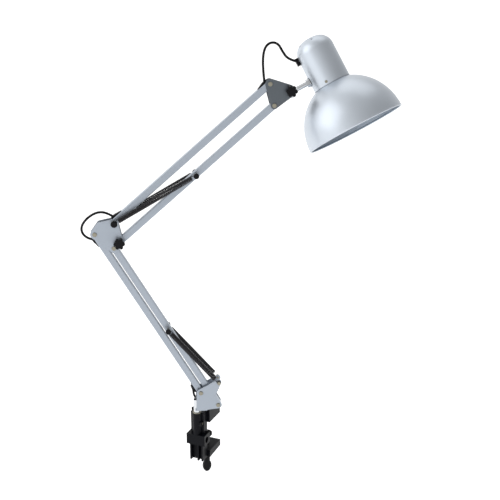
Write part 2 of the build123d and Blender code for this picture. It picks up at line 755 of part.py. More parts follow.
with BuildPart() as bell_reflector:
    with BuildSketch(PROFILE):
        with BuildLine():
            outside = bell_line(SHADE_R, BELL_H, COLLAR_R)
            inside = bell_line(SHADE_R - SHEET, BELL_H - SHEET, COLLAR_R - SHEET)
            Polyline(outside @ 1, (COLLAR_R, COLLAR_TOP), (COLLAR_R - SHEET, COLLAR_TOP), inside @ 1)
            Line(inside @ 0, outside @ 0)
        make_face()
        # rolled rim
        with Locations((SHADE_R - 1, RIM + 0.5)):
            Circle(1.5)
    revolve(axis=HEAD_AXIS)
    for around in SEAM_SCREWS:
        with BuildSketch(side_plane(25, SEAM_SCREW_Z, around)):
            Circle(1.2)
        extrude(amount=12, mode=Mode.SUBTRACT)
finish(bell_reflector.part, "bell_reflector")

neck_screws = []
for around in SEAM_SCREWS:
    with BuildPart() as neck_screw:
        with BuildSketch(side_plane(28, SEAM_SCREW_Z, around)):
            Circle(1.2)
        extrude(amount=NECK_R + 0.1 - 28)
        with BuildSketch(side_plane(NECK_R + 0.1, SEAM_SCREW_Z, around)):
            Circle(2.4)
        extrude(amount=0.9)
    neck_screws.append(neck_screw.part)
finish(Compound(children=neck_screws), "neck_screws")

with BuildPart() as neck_grommet:
    with BuildSketch(side_plane(NECK_R - SHEET - 2, 40)):
        Rectangle(9.8, 6.8)
    extrude(amount=4)
    with BuildSketch(side_plane(NECK_R + 0.05, 40)):
        RectangleRounded(13.5, 9, 2)
    extrude(amount=5.6)
    with BuildSketch(Plane(origin=HEAD_LOOP[0], z_dir=HEAD_LOOP[1] - HEAD_LOOP[0])):
        Circle(CORD_R + FIT)
    extrude(amount=20, mode=Mode.SUBTRACT)
finish(neck_grommet.part, "neck_grommet")

# Stem: a flat tongue on the head bolt, a round rod, and a thread through the neck.
TONGUE_R = 7.6
tongue_foot = shifted(stem_foot, (0.8, -2.2))
ROD_END = STEM_LENGTH - NECK_R - 7
THREAD_END = STEM_LENGTH - 25
with BuildPart() as stem:
    with BuildSketch(face((0, 0), -TONGUE_T / 2)):
        neck_of_tongue = (*along(stem_foot, STEM_TILT, 10), 3)
        for u, v, radius in ((*HEAD_KNOB, TONGUE_R), (*tongue_foot, TONGUE_R), neck_of_tongue):
            with Locations((u, v)):
                Circle(radius)
        make_hull()
    extrude(amount=TONGUE_T)
    rod_plane = Plane(origin=arm_point(*stem_foot), x_dir=NEAR_DIR, z_dir=stem_dir)
    with BuildSketch(rod_plane.offset(8)):
        Circle(STEM_R)
    extrude(amount=ROD_END - 8)
    with BuildSketch(rod_plane.offset(ROD_END)):
        Circle(STEM_THREAD_R)
    extrude(amount=THREAD_END - ROD_END)
    with BuildSketch(face(HEAD_KNOB, -TONGUE_T)):
        Circle(PIVOT_R + FIT)
    extrude(amount=2 * TONGUE_T, mode=Mode.SUBTRACT)
finish(stem.part, "stem")

NUT_AF = 12.5
stem_fittings = []
for low, thick, round_r in ((NECK_R + 1.7, 4.4, None), (NECK_R + 0.1, 1.5, 8.5), (25.7, 4.1, None)):
    with BuildPart() as fitting:
        with BuildSketch(side_plane(low, 0)):
            if round_r:
                Circle(round_r)
            else:
                RegularPolygon(NUT_AF / 2, 6, major_radius=False)
            Circle(STEM_THREAD_R, mode=Mode.SUBTRACT)
        extrude(amount=thick)
    stem_fittings.append(fitting.part)
finish(Compound(children=stem_fittings), "stem_fittings")

# Lamp holder: a moulded body with a threaded metal shell, for a bulb with an E27 cap.
HOLDER_R = 20
HOLDER_LOW = -17
HOLDER_TOP = 31
CAP_R = 13.25
with BuildPart() as lamp_holder:
    with BuildSketch(head_plane(HOLDER_LOW)):
        Circle(HOLDER_R)
    extrude(amount=HOLDER_TOP - HOLDER_LOW - 9)
    with BuildSketch(head_plane(HOLDER_TOP - 9)):
        Circle(HOLDER_R)
    extrude(amount=9, taper=35)
    with BuildSketch(head_plane(HOLDER_LOW)):
        Circle(CAP_R + 0.8)
    extrude(amount=29, mode=Mode.SUBTRACT)
    with BuildSketch(head_plane(12)):
        Circle(3.2)
    extrude(amount=30, mode=Mode.SUBTRACT)
    fillet(lamp_holder.faces().sort_by(HEAD_AXIS)[0].outer_wire().edges(), 1.5)
finish(lamp_holder.part, "lamp_holder")

with BuildPart() as lamp_holder_shell:
    with BuildSketch(head_plane(HOLDER_LOW + 2)):
        Circle(CAP_R + 0.75)
        Circle(CAP_R, mode=Mode.SUBTRACT)
    extrude(amount=23)
finish(lamp_holder_shell.part, "lamp_holder_shell")

with BuildPart() as lamp_holder_contact:
    with BuildSketch(head_plane(10.6)):
        Rectangle(18, 6)
    extrude(amount=1.2)
    with BuildSketch(head_plane(8.2)):
        Circle(2.6)
    extrude(amount=2.4)
finish(lamp_holder_contact.part, "lamp_holder_contact")

STRAP_X = 30.5
with BuildPart() as holder_strap:
    with BuildSketch(side_plane(STRAP_X - 0.6, 11.75)):
        Rectangle(41.5, 12)
    extrude(amount=1.2)
    with BuildSketch(head_plane(HOLDER_TOP + 0.1)):
        with Locations((-STRAP_X / 2 + 5, 0)):
            Rectangle(STRAP_X + 10.6, 12)
    extrude(amount=1.4)
    with BuildSketch(side_plane(STRAP_X - 4, 0)):
        Circle(STEM_THREAD_R + FIT)
    extrude(amount=8, mode=Mode.SUBTRACT)
    with BuildSketch(head_plane(HOLDER_TOP - 3)):
        Circle(3.2)
    extrude(amount=8, mode=Mode.SUBTRACT)
finish(holder_strap.part, "holder_strap")

# ---- cord ---------------------------------------------------------------------------------------


def in_tube(start, tilt, slots):
    """The straight stretch of cord inside an arm tube, between its two slots."""
    low = slots[0][0] + 8
    high = slots[1][0] - 8
    foot = arm_point(*along(start, tilt, low))
    with BuildPart() as made:
        with BuildSketch(Plane(origin=foot, x_dir=NEAR_DIR, z_dir=arm_dir(tilt))):
            Circle(CORD_R)
        extrude(amount=high - low)
    return made.part


finish(in_tube(ELBOW_TOP, UPPER_TILT, UPPER_SLOTS), "cord_in_upper_arm")
finish(in_tube(BASE_LEFT, LOWER_TILT, LOWER_SLOTS), "cord_in_lower_arm")
HEAD_RUN = [
    HEAD.from_local_coords((-28.8, 0, 40.5)),
    HEAD.from_local_coords((-17, 1, 45)),
    HEAD.from_local_coords((-5, 0, 42)),
    HEAD.from_local_coords((0, 0, HOLDER_TOP + 1.6)),
]
cord(HEAD_RUN, "cord_in_head")
cord(HEAD_LOOP, "cord_head_loop")
cord(ELBOW_LOOP, "cord_elbow_loop")

cord(LEAD, "cord_lead")
cord(TAIL, "cord_tail")

WAIST = 10.5
TIE_W = 8
TIE_T = 1
with BuildPart() as cord_hank:
    with BuildSketch(HANK_PLANE):
        with Locations((HANK_HALF, 0), (-HANK_HALF, 0)):
            Circle(HANK_END_R)
        with BuildLine():
            Polyline(
                (-HANK_HALF, HANK_END_R), (-6, WAIST), (6, WAIST), (HANK_HALF, HANK_END_R),
                (HANK_HALF, -HANK_END_R), (6, -WAIST), (-6, -WAIST), (-HANK_HALF, -HANK_END_R),
                close=True,
            )
        make_face()
    extrude(amount=HANK_T)
    # flats for the tie above and below
    for low in (0, HANK_T - TIE_T - 0.2):
        with BuildSketch(HANK_PLANE.offset(low)):
            Rectangle(TIE_W + 0.4, 2 * WAIST + 2)
        extrude(amount=TIE_T + 0.2, mode=Mode.SUBTRACT)
    # mouth where the lead runs in
    with BuildSketch(Plane(origin=LEAD[-1], z_dir=LEAD[-2] - LEAD[-1])):
        Circle(CORD_R + FIT)
    extrude(amount=30, mode=Mode.SUBTRACT)
finish(cord_hank.part, "cord_hank")

with BuildPart() as hank_tie:
    with BuildSketch(Plane(origin=hank_point(-TIE_W / 2, 0, HANK_T / 2), x_dir=UP_DIR, z_dir=hank_dir)):
        RectangleRounded(HANK_T - 0.2, 2 * (WAIST + 0.1 + TIE_T), 1.2)
        Rectangle(HANK_T - 2.2, 2 * (WAIST + 0.1), mode=Mode.SUBTRACT)
    extrude(amount=TIE_W)
finish(hank_tie.part, "hank_tie")

# Plug: a flat moulded body with two round pins, lying on the hank with the cord held in its sleeve.
PLUG_W = 24
PLUG_T = 13.8
PLUG_L = 27
SLEEVE = 9
plug_dir = TAIL[-1] - TAIL[-2]
plug_dir = Vector(plug_dir.X, plug_dir.Y, 0).normalized()
plug_rear = Plane(origin=TAIL[-1], x_dir=UP_DIR, z_dir=plug_dir)
with BuildPart() as plug:
    with BuildSketch(plug_rear.offset(-4)):
        Circle(3.6)
    extrude(amount=SLEEVE)
    with BuildSketch(plug_rear.offset(SLEEVE - 4)):
        RectangleRounded(PLUG_T, PLUG_W, 3)
    extrude(amount=PLUG_L)
    with BuildSketch(plug_rear.offset(SLEEVE - 4 + PLUG_L)):
        with Locations((0, 9.5), (0, -9.5)):
            Circle(2)
    extrude(amount=18.5)
    with BuildSketch(Plane(origin=TAIL[-1], z_dir=TAIL[-2] - TAIL[-1])):
        Circle(CORD_R + FIT)
    extrude(amount=8, mode=Mode.SUBTRACT)
finish(plug.part, "plug")
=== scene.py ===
from math import cos, pi, radians, sin

import bpy
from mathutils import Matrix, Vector


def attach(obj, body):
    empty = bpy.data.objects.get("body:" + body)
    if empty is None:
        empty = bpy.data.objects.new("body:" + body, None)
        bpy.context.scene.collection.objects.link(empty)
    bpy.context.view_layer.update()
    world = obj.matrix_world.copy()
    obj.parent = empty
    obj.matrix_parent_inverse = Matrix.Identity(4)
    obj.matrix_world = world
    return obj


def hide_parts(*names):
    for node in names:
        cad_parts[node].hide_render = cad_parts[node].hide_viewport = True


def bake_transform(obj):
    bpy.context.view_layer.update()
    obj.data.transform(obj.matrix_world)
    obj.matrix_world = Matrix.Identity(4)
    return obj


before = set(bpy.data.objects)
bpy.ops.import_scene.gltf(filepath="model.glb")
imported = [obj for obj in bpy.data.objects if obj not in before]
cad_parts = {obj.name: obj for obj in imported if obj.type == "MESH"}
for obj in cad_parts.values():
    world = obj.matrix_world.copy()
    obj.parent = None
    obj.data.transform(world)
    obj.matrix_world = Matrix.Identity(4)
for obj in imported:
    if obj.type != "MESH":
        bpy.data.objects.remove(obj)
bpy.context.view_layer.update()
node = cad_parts

# ---- Camera, floor and light --------------------------------------------------------------------
# A lens of medium length stands a metre and a half from the lamp, a little above the elbow.
# Large soft lights and a pale floor under the clamp keep the setting plain.
camera_data = bpy.data.cameras.new("camera")
camera_data.lens = 61.2
camera_data.sensor_width = 36
camera = bpy.data.objects.new("camera", camera_data)
camera.location = (0.6618, -1.3402, 0.7734)
aim = Vector((0.0875, 0.0115, 0.3411)) - camera.location
camera.rotation_euler = aim.to_track_quat("-Z", "Y").to_euler()
bpy.context.scene.collection.objects.link(camera)
bpy.context.scene.camera = camera

bpy.ops.mesh.primitive_plane_add(size=6000, location=(0, 0, -0.128))
floor = bpy.context.object
floor.name = "floor"
floor_paint = bpy.data.materials.new("floor paint")
floor_paint.use_nodes = True
floor_paint.node_tree.nodes["Principled BSDF"].inputs["Base Color"].default_value = (0.93, 0.93, 0.93, 1)
floor_paint.node_tree.nodes["Principled BSDF"].inputs["Roughness"].default_value = 0.9
floor_paint.node_tree.nodes["Principled BSDF"].inputs["Emission Color"].default_value = (1, 1, 1, 1)
floor_paint.node_tree.nodes["Principled BSDF"].inputs["Emission Strength"].default_value = 0.5
floor.data.materials.append(floor_paint)

world = bpy.data.worlds.new("studio")
world.use_nodes = True
world.node_tree.nodes["Background"].inputs["Color"].default_value = (1.0, 1.0, 1.0, 1)
sky_tree = world.node_tree
sky_place = sky_tree.nodes.new("ShaderNodeTexCoord")
sky_axes = sky_tree.nodes.new("ShaderNodeSeparateXYZ")
sky_tree.links.new(sky_place.outputs["Generated"], sky_axes.inputs["Vector"])
sky_across = sky_tree.nodes.new("ShaderNodeMapRange")
sky_across.inputs["From Min"].default_value = -0.8
sky_across.inputs["From Max"].default_value = 0.9
sky_across.inputs["To Min"].default_value = 1.35
sky_across.inputs["To Max"].default_value = 0.42
sky_tree.links.new(sky_axes.outputs["X"], sky_across.inputs["Value"])
sky_height = sky_tree.nodes.new("ShaderNodeMapRange")
sky_height.inputs["To Min"].default_value = 1.0
sky_height.inputs["To Max"].default_value = 0.75
sky_tree.links.new(sky_axes.outputs["Z"], sky_height.inputs["Value"])
sky_strength = sky_tree.nodes.new("ShaderNodeMath")
sky_strength.operation = "MULTIPLY"
sky_tree.links.new(sky_across.outputs["Result"], sky_strength.inputs[0])
sky_tree.links.new(sky_height.outputs["Result"], sky_strength.inputs[1])
sky_tree.links.new(sky_strength.outputs["Value"], sky_tree.nodes["Background"].inputs["Strength"])
bpy.context.scene.world = world
bpy.context.scene.view_settings.view_transform = "Standard"


def softbox(name, place, target, width, height, power):
    data = bpy.data.lights.new(name, "AREA")
    data.shape = "RECTANGLE"
    data.size = width
    data.size_y = height
    data.energy = power
    light = bpy.data.objects.new(name, data)
    light.location = place
    light.rotation_euler = (Vector(target) - Vector(place)).to_track_quat("-Z", "Y").to_euler()
    bpy.context.scene.collection.objects.link(light)


softbox("left softbox", (-1.5, -1.5, 1.6), (0.1, 0, 0.45), 2.2, 2.2, 14)
softbox("top softbox", (0.1, 0.6, 2.4), (0.1, 0, 0.3), 1.8, 1.4, 5)

# ---- Cord ---------------------------------------------------------------------------------------
# Black round flex, 4.2 mm thick and fairly limp. It runs inside the upper tube of each arm and
# loops freely past the elbow and the head. The spare length is folded and tied behind the clamp.


def arm(u, v, w=0.0):
    """A point u millimetres along the arms, v above the desk and w towards the near side."""
    turn = radians(30)
    return Vector((u * cos(turn) + w * sin(turn), u * sin(turn) - w * cos(turn) - 39, v)) / 1000


def hank_at(distance, side, height):
    """A point so far along the hank, to its side and above the desk, in millimetres."""
    turn = radians(113)
    x = -30.5 + distance * cos(turn) - side * sin(turn)
    y = 72 + distance * sin(turn) + side * cos(turn)
    return Vector((x, y, height)) / 1000


def tint(value):
    return (*value, 1)


grain_group = bpy.data.node_groups.new("fine grain", "ShaderNodeTree")
grain_group.interface.new_socket("Scale", in_out="INPUT", socket_type="NodeSocketFloat")
grain_group.interface.new_socket("Spread", in_out="INPUT", socket_type="NodeSocketFloat")
grain_group.interface.new_socket("Color", in_out="INPUT", socket_type="NodeSocketColor")
grain_group.interface.new_socket("Roughness", in_out="INPUT", socket_type="NodeSocketFloat")
grain_group.interface.new_socket("Color", in_out="OUTPUT", socket_type="NodeSocketColor")
grain_group.interface.new_socket("Roughness", in_out="OUTPUT", socket_type="NodeSocketFloat")
grain_group.interface.new_socket("Height", in_out="OUTPUT", socket_type="NodeSocketFloat")
tree = grain_group
inlet = tree.nodes.new("NodeGroupInput")
outlet = tree.nodes.new("NodeGroupOutput")
place = tree.nodes.new("ShaderNodeTexCoord")
fine = tree.nodes.new("ShaderNodeTexNoise")
fine.inputs["Detail"].default_value = 3
patches = tree.nodes.new("ShaderNodeTexNoise")
patches.inputs["Scale"].default_value = 26
patches.inputs["Detail"].default_value = 4
tree.links.new(place.outputs["Object"], fine.inputs["Vector"])
tree.links.new(place.outputs["Object"], patches.inputs["Vector"])
tree.links.new(inlet.outputs["Scale"], fine.inputs["Scale"])
mixed = tree.nodes.new("ShaderNodeMath")
mixed.operation = "ADD"
tree.links.new(fine.outputs["Fac"], mixed.inputs[0])
tree.links.new(patches.outputs["Fac"], mixed.inputs[1])
centred = tree.nodes.new("ShaderNodeMath")
centred.operation = "SUBTRACT"
centred.inputs[1].default_value = 1.0
tree.links.new(mixed.outputs[0], centred.inputs[0])
scaled = tree.nodes.new("ShaderNodeMath")
scaled.operation = "MULTIPLY"
tree.links.new(centred.outputs[0], scaled.inputs[0])
tree.links.new(inlet.outputs["Spread"], scaled.inputs[1])
lifted = tree.nodes.new("ShaderNodeMath")
lifted.operation = "ADD"
lifted.inputs[1].default_value = 1.0
tree.links.new(scaled.outputs[0], lifted.inputs[0])
shaded = tree.nodes.new("ShaderNodeVectorMath")
shaded.operation = "SCALE"
tree.links.new(inlet.outputs["Color"], shaded.inputs[0])
tree.links.new(lifted.outputs[0], shaded.inputs["Scale"])
tree.links.new(shaded.outputs[0], outlet.inputs["Color"])
rough = tree.nodes.new("ShaderNodeMath")
rough.operation = "MULTIPLY"
rough.use_clamp = True
tree.links.new(inlet.outputs["Roughness"], rough.inputs[0])
tree.links.new(lifted.outputs[0], rough.inputs[1])
tree.links.new(rough.outputs[0], outlet.inputs["Roughness"])
tree.links.new(fine.outputs["Fac"], outlet.inputs["Height"])

edge_group = bpy.data.node_groups.new("edge wear", "ShaderNodeTree")
edge_group.interface.new_socket("Color", in_out="INPUT", socket_type="NodeSocketColor")
edge_group.interface.new_socket("Worn Color", in_out="INPUT", socket_type="NodeSocketColor")
edge_group.interface.new_socket("Amount", in_out="INPUT", socket_type="NodeSocketFloat")
edge_group.interface.new_socket("Color", in_out="OUTPUT", socket_type="NodeSocketColor")
tree = edge_group
inlet = tree.nodes.new("NodeGroupInput")
outlet = tree.nodes.new("NodeGroupOutput")
geometry = tree.nodes.new("ShaderNodeNewGeometry")
place = tree.nodes.new("ShaderNodeTexCoord")
broken = tree.nodes.new("ShaderNodeTexNoise")
broken.inputs["Scale"].default_value = 240
broken.inputs["Detail"].default_value = 5
tree.links.new(place.outputs["Object"], broken.inputs["Vector"])
sharp = tree.nodes.new("ShaderNodeMapRange")
sharp.inputs["From Min"].default_value = 0.52
sharp.inputs["From Max"].default_value = 0.62
tree.links.new(geometry.outputs["Pointiness"], sharp.inputs["Value"])
cut = tree.nodes.new("ShaderNodeMath")
cut.operation = "MULTIPLY"
tree.links.new(sharp.outputs["Result"], cut.inputs[0])
tree.links.new(broken.outputs["Fac"], cut.inputs[1])
amount = tree.nodes.new("ShaderNodeMath")
amount.operation = "MULTIPLY"
amount.use_clamp = True
tree.links.new(cut.outputs[0], amount.inputs[0])
tree.links.new(inlet.outputs["Amount"], amount.inputs[1])
blended = tree.nodes.new("ShaderNodeMix")
blended.data_type = "RGBA"
tree.links.new(amount.outputs[0], blended.inputs["Factor"])
tree.links.new(inlet.outputs["Color"], blended.inputs["A"])
tree.links.new(inlet.outputs["Worn Color"], blended.inputs["B"])
tree.links.new(blended.outputs["Result"], outlet.inputs["Color"])


def finish_of(name, color, roughness, metallic=0.0, scale=900, spread=0.2, bump=0.1, wear=0.0,
              gleam=0.5):
    """A finish with a fine grain, slow patches in its colour and gloss and, if asked, worn edges."""
    made = bpy.data.materials.new(name)
    made.use_nodes = True
    shader_tree = made.node_tree
    shader = shader_tree.nodes["Principled BSDF"]
    shader.inputs["Metallic"].default_value = metallic
    shader.inputs["Specular IOR Level"].default_value = gleam
    grain = shader_tree.nodes.new("ShaderNodeGroup")
    grain.node_tree = grain_group
    grain.inputs["Scale"].default_value = scale
    grain.inputs["Spread"].default_value = spread
    grain.inputs["Color"].default_value = tint(color)
    grain.inputs["Roughness"].default_value = roughness
    if wear:
        edges = shader_tree.nodes.new("ShaderNodeGroup")
        edges.node_tree = edge_group
        edges.inputs["Worn Color"].default_value = tint([min(1, part * 1.5) for part in color])
        edges.inputs["Amount"].default_value = wear
        shader_tree.links.new(grain.outputs["Color"], edges.inputs["Color"])
        shader_tree.links.new(edges.outputs["Color"], shader.inputs["Base Color"])
    else:
        shader_tree.links.new(grain.outputs["Color"], shader.inputs["Base Color"])
    shader_tree.links.new(grain.outputs["Roughness"], shader.inputs["Roughness"])
    relief = shader_tree.nodes.new("ShaderNodeBump")
    relief.inputs["Strength"].default_value = bump
    relief.inputs["Distance"].default_value = 0.0002
    shader_tree.links.new(grain.outputs["Height"], relief.inputs["Height"])
    shader_tree.links.new(relief.outputs["Normal"], shader.inputs["Normal"])
    return made


def dress(finish, *names):
    """Give a finish to pieces that keep their own shape."""
    for name in names:
        node[name].data.materials.clear()
        node[name].data.materials.append(finish)


def smooth_line(points):
    """The curve of one smooth spline that has these points as its controls."""
    line = bpy.data.curves.new("line", "CURVE")
    line.dimensions = "3D"
    line.resolution_u = 12
    spline = line.splines.new("NURBS")
    spline.points.add(len(points) - 1)
    for control, point in zip(spline.points, points):
        control.co = (*point, 1)
    spline.order_u = 3
    spline.use_endpoint_u = True
    return line


def line_points(points):
    """The points along a smooth spline, read back from it."""
    holder = bpy.data.objects.new("line", smooth_line(points))
    bpy.context.scene.collection.objects.link(holder)
    bpy.context.view_layer.update()
    mesh = bpy.data.meshes.new_from_object(holder.evaluated_get(bpy.context.evaluated_depsgraph_get()))
    read = [vertex.co.copy() for vertex in mesh.vertices]
    bpy.data.objects.remove(holder)
    return read


def tube_along(name, path, radius, finish, around=14):
    """A round tube of even thickness whose rings stand square to a path."""
    corners = []
    faces = []
    side = (path[1] - path[0]).orthogonal().normalized()
    for index, point in enumerate(path):
        ahead = path[min(index + 1, len(path) - 1)] - path[max(index - 1, 0)]
        ahead.normalize()
        side = (side - ahead * side.dot(ahead)).normalized()
        other = ahead.cross(side)
        for step in range(around):
            turn = 2 * pi * step / around
            corners.append(point + (side * cos(turn) + other * sin(turn)) * radius)
    for ring in range(len(path) - 1):
        for step in range(around):
            after = (step + 1) % around
            faces.append((
                ring * around + step, ring * around + after,
                (ring + 1) * around + after, (ring + 1) * around + step,
            ))
    faces.append(tuple(reversed(range(around))))
    faces.append(tuple((len(path) - 1) * around + step for step in range(around)))
    mesh = bpy.data.meshes.new(name)
    mesh.from_pydata(corners, [], faces)
    mesh.update()
    mesh.shade_smooth()
    mesh.materials.append(finish)
    piece = bpy.data.objects.new(name, mesh)
    bpy.context.scene.collection.objects.link(piece)
    return piece


cord_sheath = finish_of(
    "black cord sheath", (0.0035, 0.0035, 0.0045), 0.42, scale=2600, spread=0.35, bump=0.25, gleam=0.15,
)
CORD_R = 0.0021

elbow_route = [
    arm(-138.4, 409.9, 0), arm(-150.5, 418, -0.8), arm(-167, 419, -2), arm(-184, 409.5, -2.6),
    arm(-195.5, 395, -2.2), arm(-195, 381.5, -1.4), arm(-184.5, 371.8, -0.6), arm(-174.8, 370, 0),
]
elbow_path = line_points(elbow_route)
half = len(elbow_path) // 2
upper_half = tube_along("elbow_loop_upper", elbow_path[:half + 1], CORD_R, cord_sheath)
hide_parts("cord_elbow_loop")
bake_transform(upper_half)
lower_half = tube_along("elbow_loop_lower", elbow_path[half:], CORD_R, cord_sheath)
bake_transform(lower_half)

head_route = [
    arm(182.8, 672.1, -12.5), arm(168, 675.8, -11.8), arm(158, 689, -10.8), arm(151.5, 701, -10),
    arm(140.5, 705, -8), arm(129.5, 700, -5.5), arm(124, 687, -3.2), arm(123, 663.4, -1.2),
    arm(125.6, 640.2, 0),
]
head_path = line_points(head_route)
third = len(head_path) // 3
last_part = len(head_path) * 7 // 8
for name, low, high, bodies in (
    ("head_loop_shade", 0, third, ("shade", "stem")),
    ("head_loop_middle", third, last_part, ("stem", "head_bracket")),
    ("head_loop_arm", last_part, len(head_path) - 1, ("head_bracket", "upper_top")),
):
    stretch = tube_along(name, head_path[low:high + 1], CORD_R, cord_sheath)
    if low == 0:
        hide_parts("cord_head_loop")
    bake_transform(stretch)

lead_route = [
    arm(-9.4, 80.6, 0), arm(-5.6, 69.5, -4), arm(-5.4, 58.5, -11.5), arm(-1.8, 47.5, -17.5),
    Vector((-0.0145, -0.012, 0.0365)), Vector((-0.0185, -0.0025, 0.0275)),
    Vector((-0.0235, 0.006, 0.0195)), Vector((-0.028, 0.0145, 0.010)),
    hank_at(-45.5, 17.5, 2.7), hank_at(-34, 17.5, 2.7),
]
# six turns, two side by side in each of three layers, pinched where the tie holds them
hank_route = []
for layer, (end_a, end_b) in enumerate(((17.6, 13.4), (17.6, 13.4), (13.4, 17.6))):
    for end_r in (end_a, end_b):
        height = 2.7 + 4.1 * layer
        waist = 7.9 if end_r > 15 else 3.8
        for distance in (-18, -6, 6, 18):
            side = waist if abs(distance) < 10 else (waist + end_r) / 2
            hank_route.append(hank_at(distance, side, height))
        for turn in (90, 60, 30, 0, -30, -60, -90):
            x = 30 + end_r * cos(radians(turn))
            hank_route.append(hank_at(x, end_r * sin(radians(turn)), height))
        for distance in (18, 6, -6, -18):
            side = waist if abs(distance) < 10 else (waist + end_r) / 2
            hank_route.append(hank_at(distance, -side, height))
        for turn in (-90, -60, -30, 0, 30, 60, 90):
            x = -30 - end_r * cos(radians(turn))
            hank_route.append(hank_at(x, end_r * sin(radians(turn)), height))
tail_route = [
    hank_at(8, -12.5, 13.5), hank_at(-2, -11.5, 15.6), hank_at(-13, -12, 15.5), hank_at(-25, -13.2, 15.4),
    hank_at(-36, -13.5, 15.9), hank_at(-45, -2.8, 17.2),
    hank_at(-42.6, 11, 18.5), hank_at(-30.5, 18, 19.6), hank_at(-17.3, 13.2, 20.3),
]
lead_path = line_points(lead_route + hank_route[:-10] + tail_route)
top_end = min(range(len(lead_path)), key=lambda i: (lead_path[i] - arm(-5, 55, -12.5)).length)
desk_edge = Vector((-0.0185, -0.0025, 0.0275))
mid_end = min(range(len(lead_path)), key=lambda i: (lead_path[i] - desk_edge).length)
lead_top = tube_along("lead_top", lead_path[:top_end + 1], CORD_R, cord_sheath)
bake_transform(lead_top)
lead_mid = tube_along("lead_middle", lead_path[top_end:mid_end + 1], CORD_R, cord_sheath)
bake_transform(lead_mid)
spare = lead_path[mid_end:]
lead = tube_along("lead", spare, CORD_R, cord_sheath, around=12)
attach(lead, "clamp")
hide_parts("cord_lead", "cord_hank", "cord_tail")
dress(cord_sheath, "cord_in_upper_arm", "cord_in_lower_arm", "cord_in_head")

# ---- Arm bars, base bracket and elbow plates ----------------------------------------------------
# Square steel tube and stamped sheet steel, sprayed in a light blue-grey silver paint.
# The head bracket is the same sheet in a darker grey.
bar_paint = finish_of(
    "silver bar paint", (0.36, 0.40, 0.455), 0.38, metallic=0.6, scale=3000, spread=0.08, bump=0.05,
)
dress(
    bar_paint, "lower_arm_left_tube", "lower_arm_right_tube", "upper_arm_top_tube",
    "upper_arm_low_tube", "elbow_near_plate", "elbow_far_plate", "base_bracket",
)
bracket_paint = finish_of(
    "grey bracket paint", (0.105, 0.12, 0.135), 0.36, metallic=0.6, scale=2200, spread=0.12, bump=0.06,
)
dress(bracket_paint, "head_near_plate", "head_far_plate")

# ---- Rivets, bolts and washers ------------------------------------------------------------------
# Steel, zinc plated and passivated to a faint yellow. The spindle, the stem and its fittings
# are bright nickel instead.
zinc = finish_of(
    "yellow zinc", (0.27, 0.255, 0.205), 0.30, metallic=0.95, scale=1600, spread=0.25, bump=0.08,
)
dress(
    zinc, "base_rivets", "elbow_rivets", "head_rivets", "elbow_bolt", "head_bolt", "neck_screws",
    "set_screw", "base_spring_studs", "lower_spring_pin", "upper_spring_pin", "elbow_spring_pin",
    "clamp_nut", "clamp_screw", "holder_strap", "spindle_washer",
)
nickel = finish_of(
    "bright nickel", (0.62, 0.64, 0.66), 0.16, metallic=1.0, scale=1200, spread=0.25, bump=0.03,
)
dress(nickel, "spindle", "stem", "stem_fittings", "head_washers", "elbow_knob_washer")

# ---- Black moulded fittings ---------------------------------------------------------------------
# Knobs, pin caps, cord grommets and the wing are injection moulded in semi-gloss black plastic.
# The bushes between the cheeks, the lamp holder, the plug and the tie are of the same plastic.
black_plastic = finish_of(
    "black moulded plastic", (0.0028, 0.0028, 0.0042), 0.30, scale=1800, spread=0.3, bump=0.10, gleam=0.13,
)
dress(
    black_plastic, "elbow_knob", "head_knob", "lower_spring_pin_caps", "upper_spring_pin_caps",
    "elbow_spring_pin_caps", "upper_arm_grommets", "lower_arm_grommets", "neck_grommet",
    "wing_handle", "pressure_pad", "hank_tie", "plug", "base_bushes", "lamp_holder",
)

# ---- Clamp --------------------------------------------------------------------------------------
# A moulded C frame in charcoal plastic with a fine surface texture. Its upright column in front
# takes the spindle.
charcoal = finish_of(
    "charcoal moulded clamp", (0.0026, 0.003, 0.005), 0.40, scale=1300, spread=0.35, bump=0.25, gleam=0.10,
)
dress(charcoal, "clamp_body")

# ---- Lamp head ----------------------------------------------------------------------------------
# Spun aluminium in two parts, sprayed with a silver metallic paint of medium gloss.
# The bell is a darker tone inside, and the inside of the neck is painted near black round the holder: painted shade
# for the shadow in the closed neck.
ARM_TURN = radians(30)
STEM_TILT = radians(26.6)
SHADE_SWIVEL = radians(17)
near_side = Vector((sin(ARM_TURN), -cos(ARM_TURN), 0))
level_up = Vector((-cos(ARM_TURN) * sin(STEM_TILT), -sin(ARM_TURN) * sin(STEM_TILT), cos(STEM_TILT)))
head_up = level_up * cos(SHADE_SWIVEL) - near_side * sin(SHADE_SWIVEL)
head_centre = Vector((0.202661, 0.078007, 0.652148))
inner_group = bpy.data.node_groups.new("inner side", "ShaderNodeTree")
for label, kind in (("Color", "Color"), ("Inner Color", "Color"), ("Middle", "Vector")):
    inner_group.interface.new_socket(label, in_out="INPUT", socket_type="NodeSocket" + kind)
inner_group.interface.new_socket("Color", in_out="OUTPUT", socket_type="NodeSocketColor")
inlet = inner_group.nodes.new("NodeGroupInput")
outlet = inner_group.nodes.new("NodeGroupOutput")
place = inner_group.nodes.new("ShaderNodeTexCoord")
outward = inner_group.nodes.new("ShaderNodeVectorMath")
outward.operation = "SUBTRACT"
inner_group.links.new(place.outputs["Object"], outward.inputs[0])
inner_group.links.new(inlet.outputs["Middle"], outward.inputs[1])
facing = inner_group.nodes.new("ShaderNodeVectorMath")
facing.operation = "DOT_PRODUCT"
inner_group.links.new(outward.outputs["Vector"], facing.inputs[0])
inner_group.links.new(place.outputs["Normal"], facing.inputs[1])
is_inner = inner_group.nodes.new("ShaderNodeMath")
is_inner.operation = "LESS_THAN"
is_inner.inputs[1].default_value = 0.0
inner_group.links.new(facing.outputs["Value"], is_inner.inputs[0])
either = inner_group.nodes.new("ShaderNodeMix")
either.data_type = "RGBA"
inner_group.links.new(is_inner.outputs["Value"], either.inputs["Factor"])
